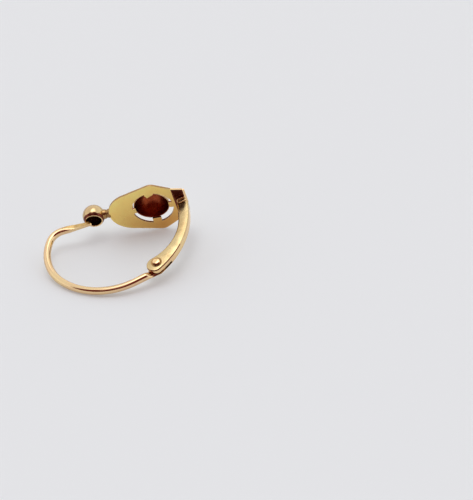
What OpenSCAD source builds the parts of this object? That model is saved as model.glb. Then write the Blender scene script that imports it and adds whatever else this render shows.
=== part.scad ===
// Gold leverback earring, sleeper form, lying on its side with the catch closed.
// Each piece is drawn in the frame of the wire loop and then laid down as it rests:
// x runs down the front plate, y runs from the plate back to the ear wire, z is across.

/* [Front plate] */
// thickness of the sheet
plate_t = 0.24; // [0.20:0.02:0.30]
// half width at the two side corners
plate_half = 4.20; // [3.8:0.1:4.6]
// side corners below the setting centre
corner_x = 0.60; // [0.4:0.1:0.9]
// radius of the round top end
top_r = 3.20; // [3.0:0.1:3.4]
// centre of the round top end above the setting centre
top_x = 2.20; // [2.0:0.1:2.4]
// fold across the plate below the setting centre
fold_x = 2.78; // [2.7:0.02:2.9]
// half width where the plate ends
tip_half = 1.95; // [1.8:0.05:2.1]
// length of the bent end facet
facet_len = 1.36; // [1.3:0.02:1.5]
// forward bend of the end facet in degrees
facet_bend = 18; // [10:1:24]
// half length of the lip in front of the end facet
lip_half = 1.26; // [1.1:0.02:1.4]
// width of the lip down the facet
lip_w = 0.80; // [0.6:0.02:0.9]
// thickness of the lip
lip_t = 0.20; // [0.15:0.01:0.25]
// gap between the facet and the lip
lip_gap = 0.22; // [0.15:0.01:0.3]
// start of the lip below the fold
lip_x = 0.82; // [0.76:0.02:0.9]
// half length of the solder foot under the lip
lip_foot = 0.64; // [0.4:0.02:1.0]

/* [Setting] */
// radius of the round opening cut in the plate
hole_r = 2.55; // [2.5:0.05:2.7]
// width of each of the four tongues left across the opening
tongue_w = 0.86; // [0.7:0.02:1.0]
// how far the tongues lie below the back face
tongue_dip = 0.06; // [0.02:0.01:0.1]
// outer radius of the hollow half ball
boss_r = 2.08; // [1.96:0.02:2.14]
// wall of the hollow half ball
boss_wall = 0.18; // [0.16:0.02:0.24]
// depth of the ball centre in front of the back face
boss_depth = 0.74; // [0.7:0.02:0.9]
// depth of the open rim in front of the back face
rim_depth = 0.12; // [0.08:0.02:0.2]
// gap between the half ball and the tongues
boss_gap = 0.04; // [0.03:0.01:0.08]

/* [Catch ball and front bead] */
// outer radius of the hollow catch ball
ball_r = 1.36; // [1.3:0.02:1.45]
// wall of the catch ball
ball_wall = 0.20; // [0.16:0.02:0.24]
// catch ball above the setting centre
ball_x = 7.33; // [7.2:0.01:7.5]
// catch ball in front of the back face
ball_y = 0.49; // [0.4:0.01:0.6]
// mouth of the catch ball behind its centre
mouth_y = 0.76; // [0.7:0.02:0.8]
// thickness of the rolled rim round the mouth
mouth_bead = 0.20; // [0.14:0.02:0.24]
// diameter of the neck between ball and plate
neck_d = 1.10; // [1.0:0.05:1.2]
// neck centre in front of the back face
neck_y = 0.56; // [0.56:0.02:0.66]
// length of the neck
neck_len = 1.70; // [1.6:0.02:1.8]
// groove turned in the neck, after the ball
groove_x = 0.40; // [0.3:0.02:0.6]
// width of the groove
groove_w = 0.12; // [0.08:0.01:0.16]
// depth of the groove
groove_d = 0.08; // [0.05:0.01:0.12]
// radius of the bead on the front
bead_r = 1.28; // [1.1:0.02:1.35]
// bead above the setting centre
bead_x = 3.71; // [3.6:0.01:3.9]
// bead centre in front of the back face
bead_y = 0.87; // [0.8:0.01:0.95]

/* [Arm] */
// width of the arm across the loop
arm_w = 1.10; // [1.0:0.05:1.3]
// inner edge of the arm below the setting centre
arm_in_x = 3.10; // [3.0:0.02:3.2]
// depth of the arm in the plane of the loop
arm_depth = 1.31; // [1.2:0.01:1.4]
// radius of the inner edge
arm_in_r = 5.80; // [5.7:0.05:6.0]
// start of the inner curve behind the back face
arm_in_y = 2.40; // [2.2:0.1:2.5]
// radius of the outer edge
arm_out_r = 9.95; // [9.8:0.05:10.2]
// start of the outer curve behind the back face
arm_out_y = 1.60; // [1.4:0.1:1.8]
// where the arm reaches its full depth behind the back face
arm_full_y = 0.50; // [0.3:0.05:0.8]

/* [Hinge] */
// hinge pin below the setting centre
pin_x = 0.21; // [0.1:0.01:0.3]
// hinge pin behind the back face
pin_y = 8.68; // [8.6:0.01:8.8]
// diameter of the rivet pin
pin_d = 0.60; // [0.5:0.02:0.7]
// running clearance on the radius of the pin
pin_fit = 0.03; // [0.02:0.01:0.05]
// diameter of the domed rivet heads
head_d = 1.20; // [1.1:0.02:1.3]
// height of the domed rivet heads
head_h = 0.24; // [0.2:0.02:0.3]
// sink of the heads into each cheek
head_sink = 0.04; // [0.02:0.01:0.06]
// radius of the rounded cheeks at the hinge
cheek_r = 1.16; // [1.1:0.02:1.2]
// gap under and round the rivet heads
head_gap = 0.02; // [0.02:0.01:0.04]
// slot between the two cheeks
fork_gap = 0.66; // [0.6:0.02:0.7]
// radius of the slot round the pin
fork_r = 1.76; // [1.7:0.02:1.8]

/* [Ear wire] */
// diameter of the wire
wire_d = 0.90; // [0.8:0.02:1.0]
// end of the round wire before the pin
run_x = 1.32; // [1.28:0.01:1.36]
// end of the round wire behind the pin
run_y = 1.35; // [1.32:0.01:1.38]
// heading of the wire as it leaves the hinge
run_heading = 159; // [158:0.5:160]
// straight stretch next to the hinge
run_len = 1.38; // [1.3:0.01:1.45]
// radius of the long lower bend
bend1_r = 8.44; // [8.4:0.01:8.5]
// turn of the long lower bend in degrees
bend1_a = 66.6; // [66.4:0.1:66.8]
// radius of the upper bend
bend2_r = 6.04; // [6.0:0.01:6.1]
// turn of the upper bend in degrees
bend2_a = 64.5; // [64.3:0.1:64.7]
// radius of the tight bend at the top
bend3_r = 1.95; // [1.92:0.01:1.98]
// turn of the tight bend in degrees
bend3_a = 62.9; // [62.7:0.1:63.1]
// length of the straight flattened end
blade_len = 3.54; // [3.5:0.01:3.58]
// thickness of the flattened end
blade_t = 0.58; // [0.52:0.02:0.6]
// lower flat of the end, from the middle of the wire
blade_low = 0.22; // [0.18:0.02:0.26]
// width of the catch nib under the end
nib_w = 0.60; // [0.5:0.02:0.7]
// length of the catch nib
nib_len = 0.58; // [0.5:0.02:0.6]
// foot of the catch nib, from the middle of the wire
nib_h = 0.54; // [0.45:0.01:0.56]
// length of the flattened heel beside the pin
heel_len = 2.05; // [2.0:0.01:2.1]
// thickness of the heel between the cheeks
heel_t = 0.56; // [0.5:0.02:0.58]
// radius of the heel round the pin
heel_r = 1.05; // [1.0:0.01:1.1]

/* [Rest] */
// roll of the loop as the earring lies
lie_roll = 193.4; // [190:0.1:204]
// rise of the tip end as the earring lies
lie_pitch = -7.4; // [-12:0.1:4]

/* [Hidden] */
$fn = 96;
// shift that puts the bottom centre of the lying earring at the origin
lie_x = 4.407;
lie_y = 4.255;
lie_z = 3.977;
big = 40;
// every other bend is a hair thinner and runs on into its neighbours
hair = 0.004;
run_on = 0.04;
// soldered and forged parts run this far into each other
solder = 0.03;
// margin of the seats cut for the rivet heads
seat = 0.06;
// the straight sides of the plate run from the round end to the corners
side_a = 17.8;
side_x = -top_x - top_r * sin(side_a);
side_w = top_r * cos(side_a);
fold_half = plate_half - (plate_half - tip_half) * (fold_x - corner_x) / (fold_x + facet_len - corner_x);
// places along the arm and the hinge
arm_out_x = arm_in_x + arm_depth;
arm_foot_x = fold_x + facet_len * cos(facet_bend) - solder;
arm_in_c = [arm_in_x - arm_in_r, arm_in_y];
arm_out_c = [arm_out_x - arm_out_r, arm_out_y];
pin = [pin_x, pin_y];
hole_pin_r = pin_d / 2 + pin_fit;
head_R = (head_d * head_d / 4 + head_h * head_h) / (2 * head_h);
cheek_z = arm_w / 2 - head_sink;
end_dir = (pin - arm_in_c) / norm(pin - arm_in_c);
// the foot of the arm ends in the middle of the end facet
function foot_y(x) = -(x - fold_x) * tan(facet_bend) - plate_t / 2;
// the wire as a chain of straight stretches and bends
function ahead(p, h, l) = [p[0] + l * cos(h), p[1] + l * sin(h)];
function hub(p, h, r) = [p[0] - r * sin(h), p[1] + r * cos(h)];
function round_to(p, h, r, a) = ahead(hub(p, h, r), h + a - 90, r);
run_p = [pin_x - run_x, pin_y + run_y];
p1 = ahead(run_p, run_heading, run_len);
p2 = round_to(p1, run_heading, bend1_r, bend1_a);
h2 = run_heading + bend1_a;
p3 = round_to(p2, h2, bend2_r, bend2_a);
h3 = h2 + bend2_a;
p4 = round_to(p3, h3, bend3_r, bend3_a);
h4 = h3 + bend3_a;
tip_p = ahead(p4, h4, blade_len);
heel_p = ahead(run_p, run_heading, -heel_len);

// places a drawn piece as the earring lies
module lie_down() {
    translate([lie_x, lie_y, lie_z])
        rotate([lie_roll, lie_pitch, 0])
            children();
}

// a straight round stretch of wire
module straight(p, h, l) {
    translate([p[0], p[1], 0])
        rotate([0, 0, h])
            rotate([0, 90, 0])
                cylinder(d = wire_d, h = l);
}

// a round bend of wire that starts at p with heading h, run on by the angle more at each end
module bend(p, h, r, a, d, more) {
    c = hub(p, h, r);
    translate([c[0], c[1], 0])
        rotate([0, 0, h - 90 - more])
            rotate_extrude(angle = a + 2 * more)
                translate([r, 0])
                    circle(d = d);
}

// flat outline of the sheet between the round end and the fold
module sheet_outline() {
    intersection() {
        union() {
            translate([-top_x, 0]) circle(r = top_r);
            polygon([
                [side_x, side_w],
                [corner_x, plate_half],
                [fold_x, fold_half],
                [fold_x, -fold_half],
                [corner_x, -plate_half],
                [side_x, -side_w]
            ]);
        }
        translate([-big, -big]) square([big + fold_x, 2 * big]);
    }
}

// end facet, bent forward about the fold
module end_facet() {
    translate([fold_x, 0, 0])
        rotate([0, 0, -facet_bend])
            rotate([90, 0, 0])
                linear_extrude(plate_t)
                    polygon([
                        [-solder, fold_half],
                        [0, fold_half],
                        [facet_len, tip_half],
                        [facet_len, -tip_half],
                        [0, -fold_half],
                        [-solder, -fold_half]
                    ]);
}

// short lip soldered in front of the end facet
module front_lip() {
    translate([fold_x, 0, 0])
        rotate([0, 0, -facet_bend])
            translate([lip_x, -plate_t - lip_gap - lip_t, 0]) {
                translate([0, 0, -lip_half]) cube([lip_w, lip_t, 2 * lip_half]);
                translate([0, 0, -lip_foot]) cube([lip_t, lip_t + lip_gap + solder, 2 * lip_foot]);
            }
}

// four tongues that reach in to the half ball
module tongues() {
    intersection() {
        translate([0, -tongue_dip, 0])
            rotate([90, 0, 0])
                difference() {
                    cylinder(r = hole_r + solder, h = plate_t - tongue_dip);
                    translate([0, 0, -1]) cylinder(r = boss_r + boss_gap, h = 2);
                }
        union() {
            cube([2 * hole_r + 1, 2, tongue_w], center = true);
            cube([tongue_w, 2, 2 * hole_r + 1], center = true);
        }
    }
}

// hollow catch ball with its rolled mouth and the neck
module catch_ball() {
    translate([-ball_x, -ball_y, 0]) {
        difference() {
            sphere(r = ball_r);
            sphere(r = ball_r - ball_wall);
            translate([-2, mouth_y, -2]) cube([4, 2, 4]);
        }
        translate([0, mouth_y - mouth_bead / 10, 0])
            rotate([90, 0, 0])
                rotate_extrude()
                    translate([sqrt(ball_r * ball_r - mouth_y * mouth_y) - mouth_bead / 2, 0])
                        circle(d = mouth_bead, $fn = 32);
    }
    translate([-ball_x + ball_r - ball_wall + solder, -neck_y, 0])
        rotate([0, 90, 0])
            difference() {
                cylinder(d = neck_d, h = neck_len);
                translate([0, 0, groove_x])
                    difference() {
                        cylinder(d = neck_d + 1, h = groove_w);
                        translate([0, 0, -1]) cylinder(d = neck_d - 2 * groove_d, h = 2);
                    }
            }
}

// bead soldered on the front below the neck
module front_bead() {
    intersection() {
        translate([-bead_x, -bead_y, 0]) sphere(r = bead_r);
        translate([-big, -big - plate_t / 2, -big]) cube([2 * big, big, 2 * big]);
    }
}

// side view of the arm from the plate to the hinge
module arm_side() {
    polygon([
        [arm_in_x, foot_y(arm_in_x)],
        [arm_foot_x, foot_y(arm_foot_x)],
        [arm_out_x, arm_full_y],
        [arm_out_x, arm_out_y],
        [arm_out_x, arm_in_y],
        [arm_in_x, arm_in_y]
    ]);
    intersection() {
        difference() {
            translate(arm_out_c) circle(r = arm_out_r, $fn = 360);
            translate(arm_in_c) circle(r = arm_in_r, $fn = 360);
        }
        polygon([
            [arm_in_x, arm_out_y],
            [arm_out_x + 1, arm_out_y],
            [arm_out_x + 1, pin_y + 3],
            pin + 2 * cheek_r * end_dir,
            pin - 2 * cheek_r * end_dir,
            [arm_in_x - 1, arm_in_y]
        ]);
    }
    translate(pin) circle(r = cheek_r);
}

// arm with its two cheeks and rivet holes
module arm() {
    difference() {
        translate([0, 0, -arm_w / 2]) linear_extrude(arm_w) arm_side();
        translate([pin_x, pin_y, -fork_gap / 2]) cylinder(r = fork_r, h = fork_gap);
        translate([pin_x, pin_y, -2]) cylinder(r = hole_pin_r, h = 4);
        translate([pin_x, pin_y, cheek_z]) cylinder(d = head_d + 2 * seat, h = 1);
        translate([pin_x, pin_y, -cheek_z - 1]) cylinder(d = head_d + 2 * seat, h = 1);
    }
}

// plate, catch ball, bead and arm, soldered into one piece
module front_plate() {
    color("gold") lie_down() {
        difference() {
            rotate([90, 0, 0]) linear_extrude(plate_t) sheet_outline();
            translate([0, 1, 0]) rotate([90, 0, 0]) cylinder(r = hole_r, h = 3);
        }
        end_facet();
        front_lip();
        tongues();
        catch_ball();
        front_bead();
        arm();
    }
}

// hollow half ball held in the four tongues, open at the back
module centre_boss() {
    color("darkgoldenrod") lie_down() {
        translate([0, -rim_depth, 0])
            rotate([90, 0, 0])
                rotate_extrude()
                    difference() {
                        union() {
                            square([boss_r, boss_depth - rim_depth]);
                            intersection() {
                                translate([0, boss_depth - rim_depth]) circle(r = boss_r);
                                translate([0, boss_depth - rim_depth]) square([boss_r + 1, boss_r + 1]);
                            }
                        }
                        translate([-1, -1]) square([boss_r - boss_wall + 1, boss_depth - rim_depth + 1]);
                        translate([0, boss_depth - rim_depth]) circle(r = boss_r - boss_wall);
                    }
    }
}

// domed head of the rivet
module rivet_head() {
    intersection() {
        translate([0, 0, head_h - head_R]) sphere(r = head_R);
        cylinder(r = head_d, h = head_h + 1);
    }
}

// rivet through both cheeks, with a domed head on each side
module hinge_rivet() {
    color("khaki") lie_down()
        translate([pin_x, pin_y, 0]) {
            translate([0, 0, -cheek_z - seat]) cylinder(d = pin_d, h = 2 * (cheek_z + seat));
            translate([0, 0, cheek_z + head_gap]) rivet_head();
            translate([0, 0, -cheek_z - head_gap]) rotate([180, 0, 0]) rivet_head();
        }
}

// straight flattened end of the wire with its catch nib
module blade() {
    translate([p4[0], p4[1], 0])
        rotate([0, 0, h4]) {
            intersection() {
                rotate([0, 90, 0]) cylinder(d = wire_d, h = blade_len);
                translate([-1, -blade_low, -1]) cube([blade_len + 2, blade_t, 2]);
            }
            translate([0, 0, -nib_w / 2])
                linear_extrude(nib_w)
                    polygon([
                        [blade_len + 2 * solder - nib_len, -blade_low + solder],
                        [blade_len - 2 * solder, -nib_h],
                        [blade_len, -nib_h],
                        [blade_len + 2 * solder, blade_t - blade_low - solder],
                        [blade_len + 2 * solder - nib_len / 2, blade_t - blade_low - solder]
                    ]);
        }
}

// flattened heel that turns on the rivet between the cheeks
module heel() {
    difference() {
        translate([0, 0, -heel_t / 2])
            linear_extrude(heel_t)
                union() {
                    translate(pin) circle(r = heel_r);
                    translate(heel_p) circle(d = wire_d - solder);
                    translate(heel_p)
                        rotate(run_heading)
                            translate([0, -wire_d / 2 + solder / 2])
                                square([heel_len + wire_d / 4, wire_d - solder]);
                }
        translate([pin_x, pin_y, -1]) cylinder(r = hole_pin_r + 0.01, h = 2);
    }
}

// ear wire from the hinge round to the tip in the catch ball
module ear_wire() {
    color("goldenrod") lie_down() {
        heel();
        straight(run_p, run_heading, run_len);
        bend(p1, run_heading, bend1_r, bend1_a, wire_d - hair, run_on / bend1_r * 180 / PI);
        bend(p2, h2, bend2_r, bend2_a, wire_d, 0);
        bend(p3, h3, bend3_r, bend3_a, wire_d - hair, run_on / bend3_r * 180 / PI);
        blade();
    }
}

front_plate();
centre_boss();
hinge_rivet();
ear_wire();
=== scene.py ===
import math

import bmesh
import bpy
from mathutils import Matrix, Vector


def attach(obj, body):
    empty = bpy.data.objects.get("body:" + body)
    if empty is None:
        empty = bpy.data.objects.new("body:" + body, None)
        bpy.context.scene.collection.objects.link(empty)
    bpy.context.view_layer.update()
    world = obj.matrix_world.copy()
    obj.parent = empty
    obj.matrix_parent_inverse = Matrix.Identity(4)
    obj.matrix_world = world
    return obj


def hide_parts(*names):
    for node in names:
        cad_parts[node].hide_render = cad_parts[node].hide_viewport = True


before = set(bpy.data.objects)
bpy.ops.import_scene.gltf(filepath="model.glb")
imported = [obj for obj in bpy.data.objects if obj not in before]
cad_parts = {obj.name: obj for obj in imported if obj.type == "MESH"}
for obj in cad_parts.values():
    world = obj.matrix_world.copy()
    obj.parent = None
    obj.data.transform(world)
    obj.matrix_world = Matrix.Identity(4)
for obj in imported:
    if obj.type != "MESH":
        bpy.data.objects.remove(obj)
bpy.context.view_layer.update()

# Camera: a long lens about 23 centimetres away. It looks down on the lying earring at the angle at which the
# photograph was taken.
camera = bpy.data.objects.new("camera", bpy.data.cameras.new("camera"))
bpy.context.scene.collection.objects.link(camera)
camera.location = (0.02359, -0.17837, 0.14293)
camera.rotation_euler = [math.radians(angle) for angle in (51.16, 4.93, -0.90)]
camera.data.lens = 137.95
camera.data.sensor_width = 36
camera.data.clip_start = 0.01
camera.data.clip_end = 10
bpy.context.scene.camera = camera
bpy.context.scene.view_settings.view_transform = "Standard"

# Floor: a pale sheet of paper that the earring lies on, far wider than the view. It is given a painted glow,
# so that the shadows on it stay pale.
paper_half = 1.5
paper_tone = (0.60, 0.63, 0.645, 1)
paper_painted_glow = (1.0, 1.0, 1.03, 1)
paper = bmesh.new()
bmesh.ops.create_grid(paper, x_segments=2, y_segments=2, size=paper_half)
paper_mesh = bpy.data.meshes.new("paper")
paper.to_mesh(paper_mesh)
paper.free()
floor = bpy.data.objects.new("paper", paper_mesh)
bpy.context.scene.collection.objects.link(floor)
paper_white = bpy.data.materials.new("paper_white")
paper_white.use_nodes = True
paper_shader = paper_white.node_tree.nodes["Principled BSDF"]
paper_shader.inputs["Base Color"].default_value = paper_tone
# the paper's emission is a painted glow that lightens the shadows; the paper is no lamp
paper_shader.inputs["Emission Color"].default_value = paper_painted_glow
paper_shader.inputs["Emission Strength"].default_value = 0.208
paper_shader.inputs["Roughness"].default_value = 0.9
paper_shader.inputs["Specular IOR Level"].default_value = 0.1
paper_mesh.materials.append(paper_white)

# Light: a white tent all round, brightest overhead and dim low down and in front, where the lens looks in,
# with one large soft lamp above the earring.
tent_foot = (0.12, 0.07, 0.05, 1)
tent_wall = ((0.10, 0.56), (0.34, 0.60), (0.88, 0.52), (0.95, 0.98))
tent_roof = (1.35, 1.35, 1.35, 1)
tent_strength = 1.80
lens_way = (-0.05, -0.69, 0.72)
lens_wide = (0.62, 1, 1)
lens_edge = (0.765, 0.835)
lens_tone = (0.085, 0.016, 0.012, 1)
lamp_at = Vector((-0.06, 0.02, 0.60))
lamp_size = (0.90, 0.26)
world = bpy.data.worlds.new("tent")
bpy.context.scene.world = world
world.use_nodes = True
tent = world.node_tree
sky = tent.nodes["Background"]
way = tent.nodes.new("ShaderNodeTexCoord")
parts = tent.nodes.new("ShaderNodeSeparateXYZ")
tent.links.new(way.outputs["Generated"], parts.inputs[0])
height = tent.nodes.new("ShaderNodeValToRGB")
height.color_ramp.elements[0].position = 0.0
height.color_ramp.elements[0].color = tent_foot
height.color_ramp.elements[1].position = 1.0
height.color_ramp.elements[1].color = tent_roof
for place, tone in tent_wall:
    height.color_ramp.elements.new(place).color = (tone, tone, tone * 1.01, 1)
tent.links.new(parts.outputs["Z"], height.inputs[0])
widened = tent.nodes.new("ShaderNodeVectorMath")
widened.operation = "MULTIPLY"
tent.links.new(way.outputs["Generated"], widened.inputs[0])
widened.inputs[1].default_value = lens_wide
evened = tent.nodes.new("ShaderNodeVectorMath")
evened.operation = "NORMALIZE"
tent.links.new(widened.outputs["Vector"], evened.inputs[0])
toward = tent.nodes.new("ShaderNodeVectorMath")
toward.operation = "DOT_PRODUCT"
tent.links.new(evened.outputs["Vector"], toward.inputs[0])
toward.inputs[1].default_value = lens_way
lens_dark = tent.nodes.new("ShaderNodeMapRange")
lens_dark.interpolation_type = "SMOOTHSTEP"
lens_dark.inputs["From Min"].default_value = lens_edge[0]
lens_dark.inputs["From Max"].default_value = lens_edge[1]
tent.links.new(toward.outputs["Value"], lens_dark.inputs["Value"])
shade = tent.nodes.new("ShaderNodeMix")
shade.data_type = "RGBA"
tent.links.new(lens_dark.outputs[0], shade.inputs["Factor"])
tent.links.new(height.outputs["Color"], shade.inputs["A"])
shade.inputs["B"].default_value = lens_tone
tent.links.new(shade.outputs["Result"], sky.inputs["Color"])
sky.inputs["Strength"].default_value = tent_strength
lamp = bpy.data.objects.new("lamp", bpy.data.lights.new("lamp", "AREA"))
bpy.context.scene.collection.objects.link(lamp)
lamp.data.shape = "RECTANGLE"
lamp.data.size, lamp.data.size_y = lamp_size
lamp.data.energy = 0.5
lamp.location = lamp_at
lamp.rotation_euler = (-lamp_at).to_track_quat("-Z", "Y").to_euler()

# Front plate: rolled sheet of yellow gold, cut to a rounded top and a straight end, which is bent forward.
# A round opening with four tongues is cut in it for the half ball. The back was left satin. The back of the
# bent end is painted dark as a painted reflection, the walls of the opening are painted dark as painted
# shade, and the rims of the sheet above the fold are painted dark as painted shade.
MM = 0.001
plate_thick = 0.24
plate_top_x = -2.20
plate_top_r = 3.20
plate_fold = 2.78
plate_end = plate_fold + 1.36
plate_tip = 1.95
plate_bend = math.radians(18)
plate_rim_round = 0.03
fold_parts = 4
fold_step = 0.05
top_turn = 17.8
corner_arc = (0.42, 2.89)
corner_turn = -49
opening_across = (0.97, 1.06)
opening_reach = 2.80
cut_down = 2.48
cut_across = 2.70
tongue_reach = 2.30
tongue_dip = 0.06
flat_least = 0.93

# the loop's own frame is x down the plate, y from the plate to the wire and z across, in millimetres
LAID = (
    Matrix.Translation((0.004407, 0.004255, 0.003977))
    @ Matrix.Rotation(math.radians(-7.4), 4, "Y")
    @ Matrix.Rotation(math.radians(193.4), 4, "X")
    @ Matrix.Scale(MM, 4)
)


def drawn(bm, start, *strokes):
    # draws a line in the x, y plane: a stroke is a point to go to, or a centre and an angle to turn through
    chord = 0.07
    step_turn = 6
    tip = bm.verts.new((*start, 0))
    line = [tip]
    for stroke in strokes:
        if len(stroke) == 2:
            tip = bmesh.ops.extrude_vert_indiv(bm, verts=[tip])["verts"][0]
            tip.co = (*stroke, 0)
            line.append(tip)
        else:
            middle = Vector((stroke[0], stroke[1], 0))
            turn = math.radians(stroke[2])
            arc = abs(turn) * (tip.co - middle).length
            steps = max(3, int(arc / chord), int(abs(stroke[2]) / step_turn))
            bmesh.ops.spin(bm, geom=[tip], cent=middle, axis=(0, 0, 1), angle=turn, steps=steps)
            bm.verts.ensure_lookup_table()
            line += bm.verts[-steps:]
            tip = line[-1]
    bmesh.ops.remove_doubles(bm, verts=line, dist=0.001)
    return [v for v in line if v.is_valid]


def edges_of(geometry):
    return [part for part in geometry if isinstance(part, bmesh.types.BMEdge)]


def sliced(bm, at, way, near=0.001, drop=False):
    # cuts a piece along a plane, takes off what lies beyond it if asked, and gives the edges of the cut
    whole = bm.verts[:] + bm.edges[:] + bm.faces[:]
    cut = bmesh.ops.bisect_plane(bm, geom=whole, plane_co=at, plane_no=way, clear_outer=drop, dist=near)
    return edges_of(cut["geom_cut"])


def swung(bm, angle, axis):
    # swings a whole piece round one of its axes
    bmesh.ops.rotate(bm, verts=bm.verts[:], matrix=Matrix.Rotation(angle, 3, axis))


def rounded(bm, edges, by, segments):
    # rounds the edges of a piece
    bmesh.ops.bevel(bm, geom=edges, offset=by, segments=segments, profile=0.5, affect="EDGES", material=-1)


def set_down(bm, name, metals, body, node, flat=None):
    # lays a shaped piece where the earring lies and hands it to its body. Where flat gives an axis and how
    # squarely a face looks along it, such faces stay flat, and all others are shaded round.
    bmesh.ops.remove_doubles(bm, verts=bm.verts[:], dist=0.0008)
    bm.normal_update()
    bm.faces.index_update()
    flats = [face.index for face in bm.faces if flat and abs(face.normal[flat[0]]) > flat[1]]
    for face in bm.faces:
        face.smooth = True
    bmesh.ops.transform(bm, matrix=LAID, verts=bm.verts[:])
    mesh = bpy.data.meshes.new(name)
    bm.to_mesh(mesh)
    bm.free()
    mesh.set_sharp_from_angle(angle=math.radians(35))
    for index in flats:
        mesh.polygons[index].use_smooth = False
    for metal in metals:
        mesh.materials.append(metal)
    piece = bpy.data.objects.new(name, mesh)
    bpy.context.scene.collection.objects.link(piece)
    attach(piece, body)
    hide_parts(node)


def hand_finish():
    # marks of the hand on worn gold: slow waves, fine scratches and cloudy tone, as masks and a height
    group = bpy.data.node_groups.new("hand_finish", "ShaderNodeTree")
    for label, kind, value in (
        ("Yellow", "NodeSocketColor", (0.86, 0.60, 0.26, 1)),
        ("Rose", "NodeSocketColor", (0.80, 0.46, 0.22, 1)),
        ("Grain", "NodeSocketFloat", 900.0),
        ("Smooth", "NodeSocketFloat", 0.08),
        ("Dull", "NodeSocketFloat", 0.2),
    ):
        group.interface.new_socket(label, in_out="INPUT", socket_type=kind).default_value = value
    group.interface.new_socket("Color", in_out="OUTPUT", socket_type="NodeSocketColor")
    group.interface.new_socket("Roughness", in_out="OUTPUT", socket_type="NodeSocketFloat")
    group.interface.new_socket("Height", in_out="OUTPUT", socket_type="NodeSocketFloat")
    nodes, links = group.nodes, group.links
    given = nodes.new("NodeGroupInput")
    out = nodes.new("NodeGroupOutput")
    where = nodes.new("ShaderNodeTexCoord")
    cloud = nodes.new("ShaderNodeTexNoise")
    cloud.inputs["Scale"].default_value = 420
    cloud.inputs["Detail"].default_value = 4
    links.new(where.outputs["Object"], cloud.inputs["Vector"])
    grain = nodes.new("ShaderNodeTexNoise")
    grain.inputs["Detail"].default_value = 6
    links.new(where.outputs["Object"], grain.inputs["Vector"])
    links.new(given.outputs["Grain"], grain.inputs["Scale"])
    tone = nodes.new("ShaderNodeMapRange")
    tone.inputs["From Min"].default_value = 0.35
    tone.inputs["From Max"].default_value = 0.65
    links.new(cloud.outputs["Fac"], tone.inputs["Value"])
    mix = nodes.new("ShaderNodeMix")
    mix.data_type = "RGBA"
    links.new(tone.outputs[0], mix.inputs["Factor"])
    links.new(given.outputs["Yellow"], mix.inputs["A"])
    links.new(given.outputs["Rose"], mix.inputs["B"])
    links.new(mix.outputs["Result"], out.inputs["Color"])
    rough = nodes.new("ShaderNodeMapRange")
    rough.inputs["From Min"].default_value = 0.3
    rough.inputs["From Max"].default_value = 0.7
    links.new(grain.outputs["Fac"], rough.inputs["Value"])
    links.new(given.outputs["Smooth"], rough.inputs["To Min"])
    links.new(given.outputs["Dull"], rough.inputs["To Max"])
    links.new(rough.outputs[0], out.inputs["Roughness"])
    grain_share = 0.4
    both = nodes.new("ShaderNodeMath")
    both.operation = "MULTIPLY_ADD"
    both.inputs[1].default_value = grain_share
    links.new(grain.outputs["Fac"], both.inputs[0])
    links.new(cloud.outputs["Fac"], both.inputs[2])
    links.new(both.outputs[0], out.inputs["Height"])
    return group


HAND_FINISH = hand_finish()


def gold(name, yellow, rose, grain, smooth, dull, relief):
    # a gold finish made from the hand finish, its relief in millimetres
    metal = bpy.data.materials.new(name)
    metal.use_nodes = True
    tree = metal.node_tree
    shader = tree.nodes["Principled BSDF"]
    shader.inputs["Metallic"].default_value = 1.0
    marks = tree.nodes.new("ShaderNodeGroup")
    marks.node_tree = HAND_FINISH
    marks.inputs["Yellow"].default_value = (*yellow, 1)
    marks.inputs["Rose"].default_value = (*rose, 1)
    marks.inputs["Grain"].default_value = grain
    marks.inputs["Smooth"].default_value = smooth
    marks.inputs["Dull"].default_value = dull
    bump = tree.nodes.new("ShaderNodeBump")
    bump.inputs["Strength"].default_value = 0.6
    bump.inputs["Distance"].default_value = relief * MM
    tree.links.new(marks.outputs["Color"], shader.inputs["Base Color"])
    tree.links.new(marks.outputs["Roughness"], shader.inputs["Roughness"])
    tree.links.new(marks.outputs["Height"], bump.inputs["Height"])
    tree.links.new(bump.outputs["Normal"], shader.inputs["Normal"])
    return metal


def painted_shade_round(metal, place, near, far, most, tone):
    # paints shade into a gold finish round a place in the loop's frame, fading between two distances in
    # millimetres
    tree = metal.node_tree
    where = tree.nodes.new("ShaderNodeTexCoord")
    away = tree.nodes.new("ShaderNodeVectorMath")
    away.operation = "DISTANCE"
    away.inputs[1].default_value = LAID @ Vector(place)
    tree.links.new(where.outputs["Object"], away.inputs[0])
    fade = tree.nodes.new("ShaderNodeMapRange")
    fade.inputs["From Min"].default_value = near * MM
    fade.inputs["From Max"].default_value = far * MM
    fade.inputs["To Min"].default_value = most
    fade.inputs["To Max"].default_value = 0.0
    tree.links.new(away.outputs["Value"], fade.inputs["Value"])
    shading = tree.nodes.new("ShaderNodeMix")
    shading.data_type = "RGBA"
    shading.inputs["B"].default_value = (*tone, 1)
    tree.links.new(fade.outputs[0], shading.inputs["Factor"])
    base = tree.nodes["Principled BSDF"].inputs["Base Color"]
    tree.links.new(base.links[0].from_socket, shading.inputs["A"])
    tree.links.new(shading.outputs["Result"], base)


QUARTER = math.radians(90)
satin_gold = gold("satin_gold", (0.98, 0.80, 0.27), (0.98, 0.70, 0.22), 5200, 0.26, 0.46, 0.014)
# the satin back is painted darker and browner towards its lower edge, a painted reflection of the shadowed
# floor
painted_shade_round(satin_gold, (2.0, 0, 4.0), 1.5, 8.5, 1.0, (0.78, 0.42, 0.12))
# painted shade gold: the plate's rims, the neck and the rivet collars are painted dark as painted shade
painted_shade_gold = gold("painted_shade_gold", (0.42, 0.26, 0.11), (0.33, 0.18, 0.07), 2500, 0.24, 0.42, 0.006)
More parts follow.
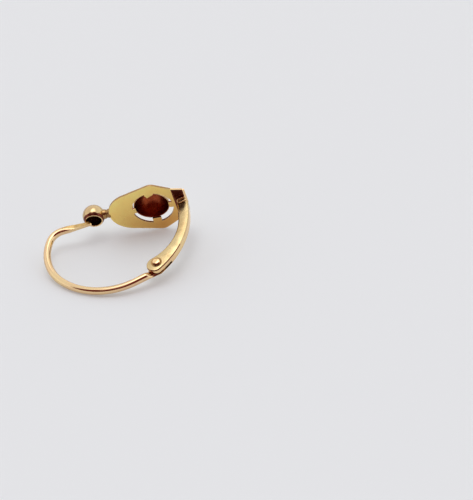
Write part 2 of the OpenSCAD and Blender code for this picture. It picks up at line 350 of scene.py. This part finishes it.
# painted dark gold: painted shade and painted reflections, laid where the earring is in shade or mirrors dark
# surroundings
painted_dark_gold = gold("painted_dark_gold", (0.20, 0.05, 0.03), (0.13, 0.03, 0.02), 2200, 0.20, 0.38, 0.006)
bright_gold = gold("bright_gold", (0.94, 0.70, 0.34), (0.92, 0.62, 0.33), 2500, 0.07, 0.16, 0.003)
plate_metals = [satin_gold, bright_gold, painted_dark_gold, painted_shade_gold]

sheet = bmesh.new()
turn = math.radians(top_turn)
side_start = (plate_top_x - plate_top_r * math.sin(turn), plate_top_r * math.cos(turn))
drawn(
    sheet, side_start, (0.07, 4.04), (*corner_arc, corner_turn), (plate_end, plate_tip),
    (plate_end, -plate_tip), (0.96, -3.97), (corner_arc[0], -corner_arc[1], corner_turn),
    (side_start[0], -side_start[1]), (plate_top_x, 0, 2 * top_turn - 180),
)
opening = drawn(
    sheet, (2.02, -0.43), (2.02, 0.43), (2.51, 0.43), (0, 0, 67.8),
    (0.55, 1.88), (-0.55, 1.88), (-0.55, 2.49), (0, 0, 68.5),
    (-2.12, 0.40), (-2.12, -0.40), (-2.52, -0.40), (0, 0, 69.6),
    (-0.50, -2.28), (-0.28, -1.76), (0.20, -2.02), (0.55, -2.24), (0.68, -2.46), (0, 0, 64.8),
    (2.02, -0.43),
)
bmesh.ops.scale(sheet, verts=opening, vec=(*opening_across, 1))
bmesh.ops.triangle_fill(sheet, use_beauty=True, edges=sheet.edges[:])
# cuts beside the opening keep the dip of the tongues close to it
for at in ((cut_down, 0, 0), (-cut_down, 0, 0), (0, cut_across, 0), (0, -cut_across, 0)):
    sliced(sheet, at, at)
tongues = [vert for vert in sheet.verts if vert.co.length < tongue_reach]
bmesh.ops.translate(sheet, verts=tongues, vec=(0, 0, tongue_dip))
part_bend = Matrix.Rotation(-plate_bend / fold_parts, 3, "Y")
for step in reversed(range(fold_parts)):
    fold_at = (plate_fold + fold_step * step, 0, 0)
    sliced(sheet, fold_at, (1, 0, 0))
    bent = [vert for vert in sheet.verts if vert.co.x > fold_at[0] + 0.002]
    bmesh.ops.rotate(sheet, verts=bent, cent=fold_at, matrix=part_bend)
swung(sheet, QUARTER, "X")
bmesh.ops.recalc_face_normals(sheet, faces=sheet.faces[:])
if sum(face.normal.y for face in sheet.faces) < 0:
    bmesh.ops.reverse_faces(sheet, faces=sheet.faces[:])
bmesh.ops.solidify(sheet, geom=sheet.faces[:], thickness=plate_thick)
bmesh.ops.recalc_face_normals(sheet, faces=sheet.faces[:])
sharp = math.radians(50)
rims = [edge for edge in sheet.edges if len(edge.link_faces) == 2 and edge.calc_face_angle(0) > sharp]
rounded(sheet, rims, plate_rim_round, 2)
# opening walls get painted shade, the bent end's back a painted reflection, and the rims above the fold
# painted shade
for face in sheet.faces:
    middle = face.calc_center_median()
    on_wall = abs(face.normal.y) < 0.3
    on_rounding = abs(face.normal.y) < 0.9
    above_fold = middle.x < plate_fold
    by_opening = math.hypot(middle.x, middle.z) < opening_reach
    if on_wall and by_opening:
        finish = painted_dark_gold
    elif on_rounding and above_fold and not by_opening:
        finish = painted_shade_gold
    elif face.normal.y < flat_least:
        finish = bright_gold
    elif above_fold:
        finish = satin_gold
    else:
        finish = painted_dark_gold
    face.material_index = plate_metals.index(finish)
set_down(sheet, "plate", plate_metals, "front", "front_plate", flat=(1, flat_least))

# Lip: a short strip of the same sheet, soldered on its foot in front of the bent end, so that the end of the
# earring looks thicker from the front.
lip_end = 0.82
lip_front = -plate_thick - 0.42
strip_round = 0.05


def shifted(bm, by):
    # shifts a whole piece
    bmesh.ops.translate(bm, verts=bm.verts[:], vec=by)


def strips_on_end(strips):
    # rounded strips, each a size and a middle, laid along the bent end
    bm = bmesh.new()
    for size, middle in strips:
        strip = bmesh.ops.create_cube(bm, size=1.0)["verts"]
        bmesh.ops.scale(bm, verts=strip, vec=size)
        bmesh.ops.translate(bm, verts=strip, vec=middle)
    rounded(bm, bm.edges[:], strip_round, 3)
    swung(bm, -plate_bend, "Z")
    shifted(bm, (plate_fold, 0, 0))
    return bm


lip = strips_on_end((
    ((0.80, 0.20, 2.52), (lip_end + 0.40, lip_front + 0.10, 0)),
    ((0.20, 0.45, 1.28), (lip_end + 0.10, lip_front + 0.225, 0)),
))
set_down(lip, "end_lip", [bright_gold], "front", "front_plate")

# Catch ball: a hollow ball of thin gold, open towards the wire, with a rolled rim soldered round its mouth.
# The band of the ball and the rim round the mouth is painted dark as a painted reflection, and the inside of
# the ball is painted dark as painted shade.
ball_at = Vector((-7.33, -0.49, 0))
ball_r = 1.36
ball_wall = 0.20
ball_mouth = 0.76
ball_band_from = 0.52
rim_r = 0.10
rim_sunk = 0.02
rim_band_from = 0.045
# the inside of the ball is painted near black as painted shade
ball_inside_shade_gold = gold("ball_inside_shade_gold", (0.16, 0.07, 0.03), (0.09, 0.03, 0.015), 2500, 0.35, 0.6, 0.003)
ball_gold = gold("ball_gold", (0.66, 0.49, 0.25), (0.60, 0.41, 0.22), 2500, 0.07, 0.16, 0.003)
ball_metals = [ball_gold, ball_inside_shade_gold, painted_dark_gold]
rim_metals = [bright_gold, painted_dark_gold]


def round_ball(radius):
    # a full ball with its poles on the y axis
    bm = bmesh.new()
    bmesh.ops.create_uvsphere(bm, u_segments=96, v_segments=64, radius=radius)
    swung(bm, QUARTER, "X")
    return bm


def turned(bm, steps=96):
    # spins the line drawn beside the y axis once round it, as on a lathe
    line = bm.verts[:] + bm.edges[:]
    once = 2 * math.pi
    bmesh.ops.spin(bm, geom=line, cent=(0, 0, 0), axis=(0, 1, 0), angle=once, steps=steps, use_merge=True)
    bmesh.ops.remove_doubles(bm, verts=bm.verts[:], dist=0.0005)
    bmesh.ops.recalc_face_normals(bm, faces=bm.faces[:])


ball = round_ball(ball_r)
sliced(ball, (0, ball_mouth, 0), (0, 1, 0), near=0.0001, drop=True)
bmesh.ops.recalc_face_normals(ball, faces=ball.faces[:])
bmesh.ops.solidify(ball, geom=ball.faces[:], thickness=ball_wall)
# faces beside the mouth carry a painted reflection in dark gold, and the inside painted shade
for face in ball.faces:
    middle = face.calc_center_median()
    if middle.length < ball_r - ball_wall / 2:
        finish = ball_inside_shade_gold
    elif middle.y > ball_band_from:
        finish = painted_dark_gold
    else:
        finish = ball_gold
    face.material_index = ball_metals.index(finish)
shifted(ball, ball_at)
set_down(ball, "catch_ball", ball_metals, "front", "front_plate")

rim = bmesh.new()
mouth_r = math.sqrt(ball_r ** 2 - ball_mouth ** 2) - rim_r
drawn(rim, (mouth_r + rim_r, 0), (mouth_r, 0, 360))
turned(rim)
# the outer part of the rim, beside the ball, carries the same painted reflection
for face in rim.faces:
    in_band = math.hypot(*face.calc_center_median().xz) > mouth_r + rim_band_from
    face.material_index = rim_metals.index(painted_dark_gold if in_band else bright_gold)
shifted(rim, ball_at + Vector((0, ball_mouth - rim_sunk, 0)))
set_down(rim, "mouth_rim", rim_metals, "front", "front_plate")

# Neck: a short gold pin turned with a groove, soldered between the ball and the top of the plate. It is
# painted dark as painted shade, tucked between the ball and the plate.
neck_at = Vector((-6.12, -0.46, 0))
neck = bmesh.new()
drawn(
    neck, (0, 0), (0.62, 0), (0.58, 0.20), (0.55, 0.34), (0.53, 0.39), (0.47, 0.42), (0.47, 0.50),
    (0.53, 0.53), (0.56, 0.58), (0.56, 0.84), (0.40, 0.92), (0.40, 1.20), (0, 1.20),
)
turned(neck, 64)
swung(neck, -QUARTER, "Z")
shifted(neck, neck_at)
set_down(neck, "ball_neck", [painted_shade_gold], "front", "front_plate")

# Front bead: a polished gold bead soldered on the front of the plate, over the foot of the neck. Its back is
# filed flat to sit on the sheet.
bead_at = Vector((-3.71, -0.87, 0))
bead_r = 1.28
bead_back = -0.15
bead = round_ball(bead_r)
shifted(bead, bead_at)
bead_edge = sliced(bead, (0, bead_back, 0), (0, 1, 0), near=0.0001, drop=True)
bmesh.ops.contextual_create(bead, geom=bead_edge)
set_down(bead, "front_bead", [ball_gold], "front", "front_plate")

# Half ball: pressed from thin gold and polished, open at the back, held in the four tongues. Its inside is
# coloured a deep red brown.
cup_r = 2.15
cup_wall = 0.12
cup_deep = -0.66
cup_rim = -0.30
cup_at = (-0.12, 0, -0.13)
cup_across = 1.06
red_gold = gold("red_gold", (0.40, 0.09, 0.035), (0.25, 0.045, 0.02), 2200, 0.20, 0.38, 0.006)
cup_metals = [ball_gold, red_gold]
cup = bmesh.new()
drawn(
    cup, (0, cup_deep - cup_r), (0, cup_deep, 90), (cup_r, cup_rim - cup_wall / 2),
    (cup_r - cup_wall / 2, cup_rim - cup_wall / 2, 180), (cup_r - cup_wall, cup_deep), (0, cup_deep, -90),
)
turned(cup)
for face in cup.faces:
    out = face.calc_center_median() - Vector((0, cup_deep, 0))
    out.y = min(out.y, 0)
    inside = out.length < cup_r - cup_wall / 2
    face.material_index = cup_metals.index(red_gold if inside else ball_gold)
bmesh.ops.scale(cup, verts=cup.verts[:], vec=(1, 1, cup_across))
shifted(cup, cup_at)
set_down(cup, "half_ball", cup_metals, "front", "centre_boss")

# Arm: a bar filed from thick gold, soldered on the bent end of the plate. It curves back to the hinge, where
# a slot splits it into two round cheeks. Its sides keep the file marks.
arm_half = 0.55
arm_in = (-2.85, 2.55)
arm_out = (-6.00, 1.60)
arm_in_x = 3.10
arm_out_x = 4.41
arm_heel_x = 4.04
arm_heel_y = 0.5
arm_round = 0.18
hinge = Vector((0.21, 8.68, 0))
cheek_at = (-0.03, 8.90)
cheek_turns = (66.1, (*cheek_at, -195.3), -50.7)
web_turns = (50.2, (*hinge.xy, 54.3), -40.6)
slot_low = 0.02
slot_high = 0.36
crease_r = 10.15
crease_from = 6.6
crease_end = 9.3
filed_gold = gold("filed_gold", (0.70, 0.55, 0.29), (0.57, 0.40, 0.19), 1500, 0.14, 0.30, 0.050)
# the foot of the arm next to the plate is painted browner as painted shade
painted_shade_round(filed_gold, (3.50, 0.45, -arm_half), 0.4, 1.0, 0.50, (0.42, 0.26, 0.085))
arm_metals = [filed_gold, painted_dark_gold, bright_gold]


def verts_of(geometry):
    return [part for part in geometry if isinstance(part, bmesh.types.BMVert)]


def raised(bm, line, low, high):
    # fills a closed line and raises it into a layer between two heights
    bmesh.ops.translate(bm, verts=line, vec=(0, 0, low))
    edges = list(dict.fromkeys(edge for vert in line for edge in vert.link_edges))
    face = bmesh.ops.contextual_create(bm, geom=edges)["faces"]
    made = bmesh.ops.extrude_face_region(bm, geom=face)["geom"]
    bmesh.ops.translate(bm, verts=verts_of(made), vec=(0, 0, high - low))


def foot(x):
    # the bar ends inside the bent end of the plate
    return -(x - plate_fold) * math.tan(plate_bend) - plate_thick / 2


def bar_layer(bm, low, high, turns):
    # a flat layer of the bar, its end rounded or cut round
    in_turn, end_turn, out_turn = turns
    start = (arm_in_x, foot(arm_in_x))
    side = drawn(
        bm, start, (arm_in_x, arm_in[1]), (*arm_in, in_turn), end_turn, (*arm_out, out_turn),
        (arm_out_x, arm_heel_y), (arm_heel_x, foot(arm_heel_x)), start,
    )
    raised(bm, side, low, high)


arm = bmesh.new()
bar_layer(arm, -arm_half, slot_low, cheek_turns)
bar_layer(arm, slot_high, arm_half, cheek_turns)
bar_layer(arm, slot_low, slot_high, web_turns)
bmesh.ops.recalc_face_normals(arm, faces=arm.faces[:])
brim = []
for edge in arm.edges:
    on_side = all(abs(abs(vert.co.z) - arm_half) < 0.001 for vert in edge.verts)
    if on_side and len(edge.link_faces) == 2 and edge.calc_face_angle(0) > 0.8:
        brim.append(edge)
rounded(arm, brim, arm_round, 5)
# the rounding along the crease towards the hinge is painted dark as painted shade
for face in arm.faces:
    middle = face.calc_center_median()
    on_rounding = -0.85 < face.normal.z < -0.35
    on_wall = abs(face.normal.z) < 0.3
    outside = math.hypot(middle.x - arm_out[0], middle.y - arm_out[1]) > crease_r
    creased = (outside and middle.y > crease_from) or middle.y > crease_end
    if on_rounding and creased:
        finish = painted_dark_gold
    elif on_wall:
        finish = bright_gold
    else:
        finish = filed_gold
    face.material_index = arm_metals.index(finish)
set_down(arm, "arm", arm_metals, "front", "front_plate")

# Solder: a thin uneven seam of gold solder round the foot of the arm, two runs along one side of the bar and
# one across it. It was left as it flowed.
seam = strips_on_end((
    ((1.02, 0.12, 0.13), (0.83, 0.04, -0.61)),
    ((0.98, 0.13, 0.13), (0.86, 0.50, -0.58)),
    ((0.13, 0.16, 1.20), (0.31, 0.05, 0)),
))
set_down(seam, "arm_seam", [bright_gold], "front", "front_plate")

# Rivet: gold wire put through both cheeks and the heel of the ear wire. Its two ends are hammered into domes,
# each in a thin round collar. The collars are painted dark as a painted contact shadow, and one side of the
# domes is painted dark as painted shade.
pin_r = 0.30
head_foot = 0.53
collar_r = 0.66
dome_r = 0.47
dome_shade_r = 0.38
dome_shade_y = 0.20
rivet_metals = [bright_gold, painted_shade_gold, painted_dark_gold]
rivet = bmesh.new()
drawn(
    rivet, (0, 0), (pin_r, 0), (pin_r, head_foot), (collar_r, head_foot), (collar_r, head_foot + 0.04),
    (0.62, head_foot + 0.07), (0.56, head_foot + 0.07), (0.50, head_foot + 0.03),
    (dome_r, head_foot + 0.05), (dome_r, head_foot + 0.14), (0.43, head_foot + 0.21),
    (0.34, head_foot + 0.25), (0.18, head_foot + 0.27), (0, head_foot + 0.28),
)
turned(rivet, 64)
copied = bmesh.ops.duplicate(rivet, geom=rivet.verts[:] + rivet.edges[:] + rivet.faces[:])
other_end = verts_of(copied["geom"])
bmesh.ops.rotate(rivet, verts=other_end, matrix=Matrix.Rotation(math.pi, 3, "X"))
swung(rivet, QUARTER, "X")
# collars get a painted contact shadow and the far side of each dome painted shade
for face in rivet.faces:
    middle = face.calc_center_median()
    if middle.xy.length > dome_r + 0.01:
        finish = painted_shade_gold
    elif middle.xy.length > dome_shade_r and middle.y > dome_shade_y:
        finish = painted_dark_gold
    else:
        finish = bright_gold
    face.material_index = rivet_metals.index(finish)
shifted(rivet, hinge)
set_down(rivet, "rivet", rivet_metals, "front", "hinge_rivet")

# Ear wire: drawn gold wire, 0.9 mm thick, bent round to the catch. Its heel is hammered flat to turn between
# the cheeks, round an eye on the rivet. The straight end is flattened to a blade that narrows to its tip,
# with a nib that snaps into the mouth of the ball.
wire_r = 0.45
wire_start = Vector((0.337, 9.474, 0))
wire_way = math.radians(159)
wire_straight = 2.93
bends = ((8.44, 66.6), (6.04, 64.5), (1.95, 62.9))
heel_flat = 0.33
heel_z = 0.19
heel_long = 0.80
heel_ease = 0.90
heel_steps = 10
heel_shade_reach = 1.55
eye_half = 0.15
blade_long = 3.48
blade_half = 0.20
blade_steps = 24
flat_from = 1.70
narrow_from = 0.60
tip_wide = 0.20
tip_lean = 0.06
nib_end = 3.54
nib_half = 0.17
nib_round = 0.04
blade_gold = gold("blade_gold", (0.56, 0.38, 0.16), (0.48, 0.30, 0.12), 2500, 0.18, 0.34, 0.006)
wire_gold = gold("wire_gold", (0.82, 0.61, 0.33), (0.78, 0.53, 0.31), 2600, 0.06, 0.14, 0.002)
wire_metals = [wire_gold, painted_dark_gold, blade_gold]


def heading(angle):
    return Vector((math.cos(angle), math.sin(angle), 0))


def left_of(angle):
    return Vector((-math.sin(angle), math.cos(angle), 0))


def eased(share):
    # a share that sets out and arrives gently
    return (3 - 2 * share) * share * share


def pulled(bm, ring, way, far):
    # draws the ring of the wire's section on along its heading
    made = bmesh.ops.extrude_edge_only(bm, edges=ring)["geom"]
    bmesh.ops.translate(bm, verts=verts_of(made), vec=heading(way) * far)
    return verts_of(made), edges_of(made)


def joined(bm, part, name):
    # adds a part that was shaped on its own
    mesh = bpy.data.meshes.new(name)
    part.to_mesh(mesh)
    part.free()
    bm.from_mesh(mesh)


wire = bmesh.new()
bmesh.ops.create_circle(wire, segments=48, radius=wire_r)
swung(wire, QUARTER, "Y")
swung(wire, wire_way, "Z")
bmesh.ops.scale(wire, verts=wire.verts[:], vec=(1, 1, heel_flat))
shifted(wire, wire_start + Vector((0, 0, heel_z)))
ring = wire.edges[:]
bmesh.ops.contextual_create(wire, geom=ring)
_, ring = pulled(wire, ring, wire_way, heel_long)
for step in range(heel_steps):
    verts, ring = pulled(wire, ring, wire_way, heel_ease / heel_steps)
    share = [eased(t / heel_steps) for t in (step, step + 1)]
    flat = [heel_flat + (1 - heel_flat) * part for part in share]
    for vert in verts:
        off = vert.co.z - heel_z * (1 - share[0])
        vert.co.z = off * flat[1] / flat[0] + heel_z * (1 - share[1])
_, ring = pulled(wire, ring, wire_way, wire_straight - heel_long - heel_ease)
at = wire_start + heading(wire_way) * wire_straight
for bend_r, bend_turn in bends:
    middle = at + left_of(wire_way) * bend_r
    turn = math.radians(bend_turn)
    ends = list(dict.fromkeys(vert for edge in ring for vert in edge.verts))
    steps = int(bend_turn / 2)
    spun = bmesh.ops.spin(wire, geom=ends + ring, cent=middle, axis=(0, 0, 1), angle=turn, steps=steps)
    ring = edges_of(spun["geom_last"])
    wire_way += turn
    at = middle - left_of(wire_way) * bend_r
along = heading(wire_way)
across = left_of(wire_way)
for step in range(blade_steps):
    verts, ring = pulled(wire, ring, wire_way, blade_long / blade_steps)
    gone = [blade_long * t / blade_steps for t in (step, step + 1)]
    half = wire_r - (wire_r - blade_half) * eased(min(1, gone[1] / flat_from))
    narrow = [max(0, far - narrow_from) / (blade_long - narrow_from) for far in gone]
    wide = [wire_r + (tip_wide - wire_r) * part for part in narrow]
    lean = [tip_lean * part for part in narrow]
    for vert in verts:
        side = (vert.co - at).dot(across)
        vert.co += across * ((side - lean[0]) * wide[1] / wide[0] + lean[1] - side)
        vert.co.z = min(max(vert.co.z, -half), half)
bmesh.ops.contextual_create(wire, geom=ring)

eye = bmesh.new()
drawn(
    eye, (0.34, -eye_half), (0.80, -eye_half), (0.85, -0.10), (0.85, 0.10), (0.80, eye_half),
    (0.34, eye_half), (0.34, -eye_half),
)
turned(eye)
swung(eye, QUARTER, "X")
shifted(eye, hinge + Vector((0, 0, heel_z)))
joined(wire, eye, "heel_eye")

nib = bmesh.new()
outline = drawn(
    nib, (nib_end - 0.52, -0.19), (nib_end - 0.06, -0.54), (nib_end, -0.54), (nib_end + 0.06, 0.33),
    (nib_end - 0.23, 0.33), (nib_end - 0.52, -0.19),
)
raised(nib, outline, -nib_half, nib_half)
bmesh.ops.recalc_face_normals(nib, faces=nib.faces[:])
rounded(nib, nib.edges[:], nib_round, 2)
swung(nib, wire_way, "Z")
shifted(nib, at)
joined(wire, nib, "nib")

bmesh.ops.recalc_face_normals(wire, faces=wire.faces[:])
for face in wire.faces:
    middle = face.calc_center_median()
    on_blade = (middle - at).dot(along) > 0 and middle.y < at.y
    # the heel's top near the rivet, lying in the slot, is painted dark as painted shade
    if face.normal.z < -0.3 and (middle - hinge).length < heel_shade_reach:
        finish = painted_dark_gold
    elif face.normal.z < -0.9 and on_blade:
        finish = blade_gold
    else:
        finish = wire_gold
    face.material_index = wire_metals.index(finish)
set_down(wire, "wire", wire_metals, "wire", "ear_wire")
